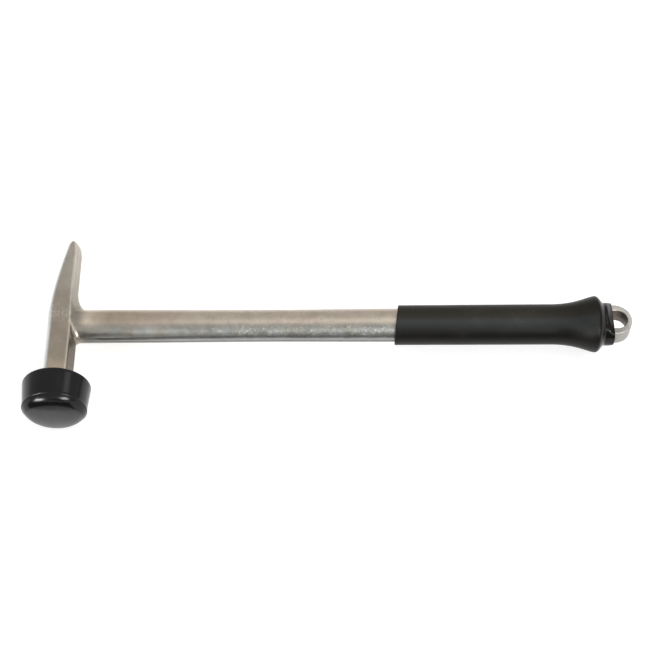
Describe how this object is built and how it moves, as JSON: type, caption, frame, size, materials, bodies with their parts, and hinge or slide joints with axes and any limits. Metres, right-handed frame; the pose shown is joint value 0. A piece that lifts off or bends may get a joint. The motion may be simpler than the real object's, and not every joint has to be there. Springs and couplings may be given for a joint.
{
  "type": "rubber faced hammer",
  "caption": "One-piece forged steel hammer with a slip-on round rubber face, a tapered prying pick, a round shaft, a moulded rubber grip with flared end and a pierced hanging eye.",
  "frame": {"origin": "the middle of the outline in plan, on the plane that the rubber cap's rim touches", "axes": "+X along the shaft from the head to the hanging eye, +Y along the head from the rubber face to the pick, +Z square to the forging's parting plane, so the hammer lies on its side"},
  "size_m": [0.326, 0.1116, 0.0362],
  "materials": {
    "steel": "plated forged steel, satin, lightly speckled and pitted",
    "cap_rubber": "smooth moulded black rubber, semi-gloss",
    "grip_rubber": "smooth moulded black rubber, satin"
  },
  "bodies": {
    "root": {"hammer_body": "steel", "rubber_cap": "cap_rubber", "grip_sleeve": "grip_rubber"}
  },
  "joints": []
}
